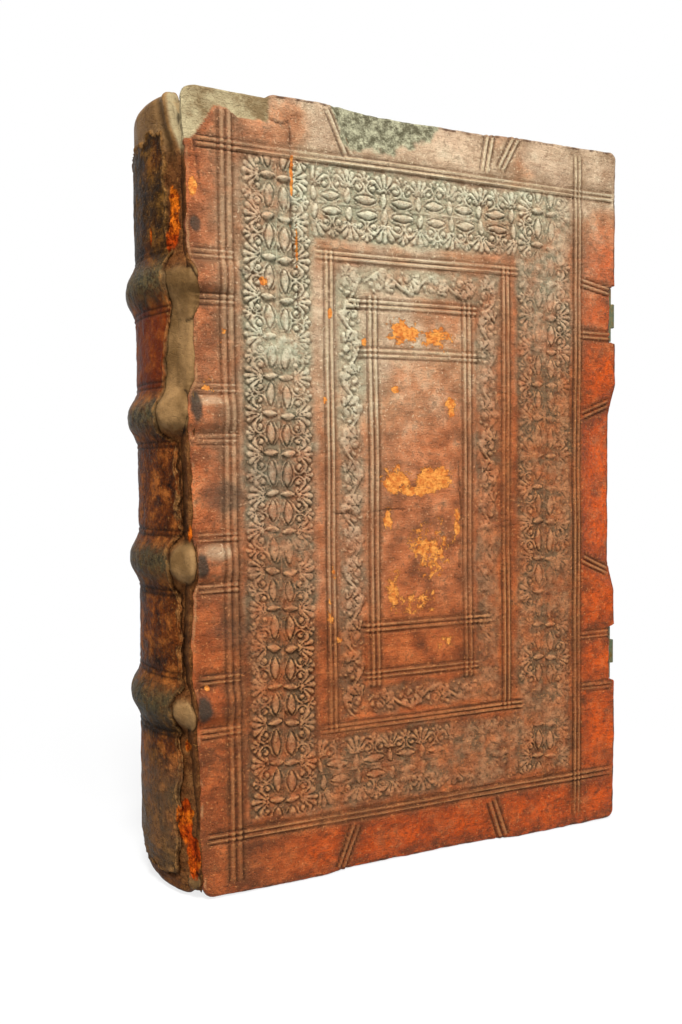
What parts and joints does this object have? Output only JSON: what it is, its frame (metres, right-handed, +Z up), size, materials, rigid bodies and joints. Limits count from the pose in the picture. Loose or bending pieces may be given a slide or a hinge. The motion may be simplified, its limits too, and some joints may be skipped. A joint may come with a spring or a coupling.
{
  "type": "antique leather book",
  "caption": "Upright antique folio in blind-tooled brown leather over bevelled wooden boards, with raised bands, a rebacked spine, hinged covers and brass fore-edge catches.",
  "frame": {"origin": "bottom centre of the bounding box, on the surface the book stands on", "axes": "+Z up from tail to head, +X from spine to fore-edge, the front cover faces -Y"},
  "size_m": [0.2265, 0.0766, 0.32],
  "materials": {
    "leaves": "browned rag paper, edges soiled",
    "endband_thread": "linen thread over a core",
    "repair_leather": "khaki calf of the later repair, matt",
    "old_spine_leather": "dark brown old calf, dry and cracked",
    "lining_paper": "pasted paper lining",
    "hemp_cord": "twisted hemp cord",
    "cover_leather": "blind-tooled brown calf, worn and flaked",
    "endpaper": "aged laid paper",
    "board_wood": "quarter-sawn bare wood",
    "catch_brass": "old brass with verdigris"
  },
  "bodies": {
    "book_block": {"text_block": "leaves", "head_endband": "endband_thread", "tail_endband": "endband_thread", "reback_leather": "repair_leather", "old_spine_leather": "old_spine_leather", "spine_lining_1": "lining_paper", "spine_lining_2": "lining_paper", "spine_lining_3": "lining_paper", "spine_lining_4": "lining_paper", "spine_lining_5": "lining_paper", "sewing_support_1": "hemp_cord", "sewing_support_2": "hemp_cord", "sewing_support_3": "hemp_cord", "sewing_support_4": "hemp_cord"},
    "front_cover": {"front_board": "board_wood", "front_cover_leather": "cover_leather", "front_corner_repair": "repair_leather", "front_pastedown": "endpaper", "front_pegs": "board_wood", "catch_nails": "catch_brass", "upper_catch_plate": "catch_brass", "lower_catch_plate": "catch_brass", "front_slip_1": "hemp_cord", "front_slip_2": "hemp_cord", "front_slip_3": "hemp_cord", "front_slip_4": "hemp_cord"},
    "rear_cover": {"rear_board": "board_wood", "rear_cover_leather": "cover_leather", "rear_pastedown": "endpaper", "rear_pegs": "board_wood", "rear_slip_1": "hemp_cord", "rear_slip_2": "hemp_cord", "rear_slip_3": "hemp_cord", "rear_slip_4": "hemp_cord"}
  },
  "joints": [
    {"name": "front_joint", "type": "hinge", "parent": "book_block", "child": "front_cover", "pos_m": [-0.0938, -0.0384, 0.16], "axis": [0, 0, -1], "range_deg": [0, 110]},
    {"name": "rear_joint", "type": "hinge", "parent": "book_block", "child": "rear_cover", "pos_m": [-0.0938, 0.0384, 0.16], "axis": [0, 0, 1], "range_deg": [0, 110]}
  ]
}
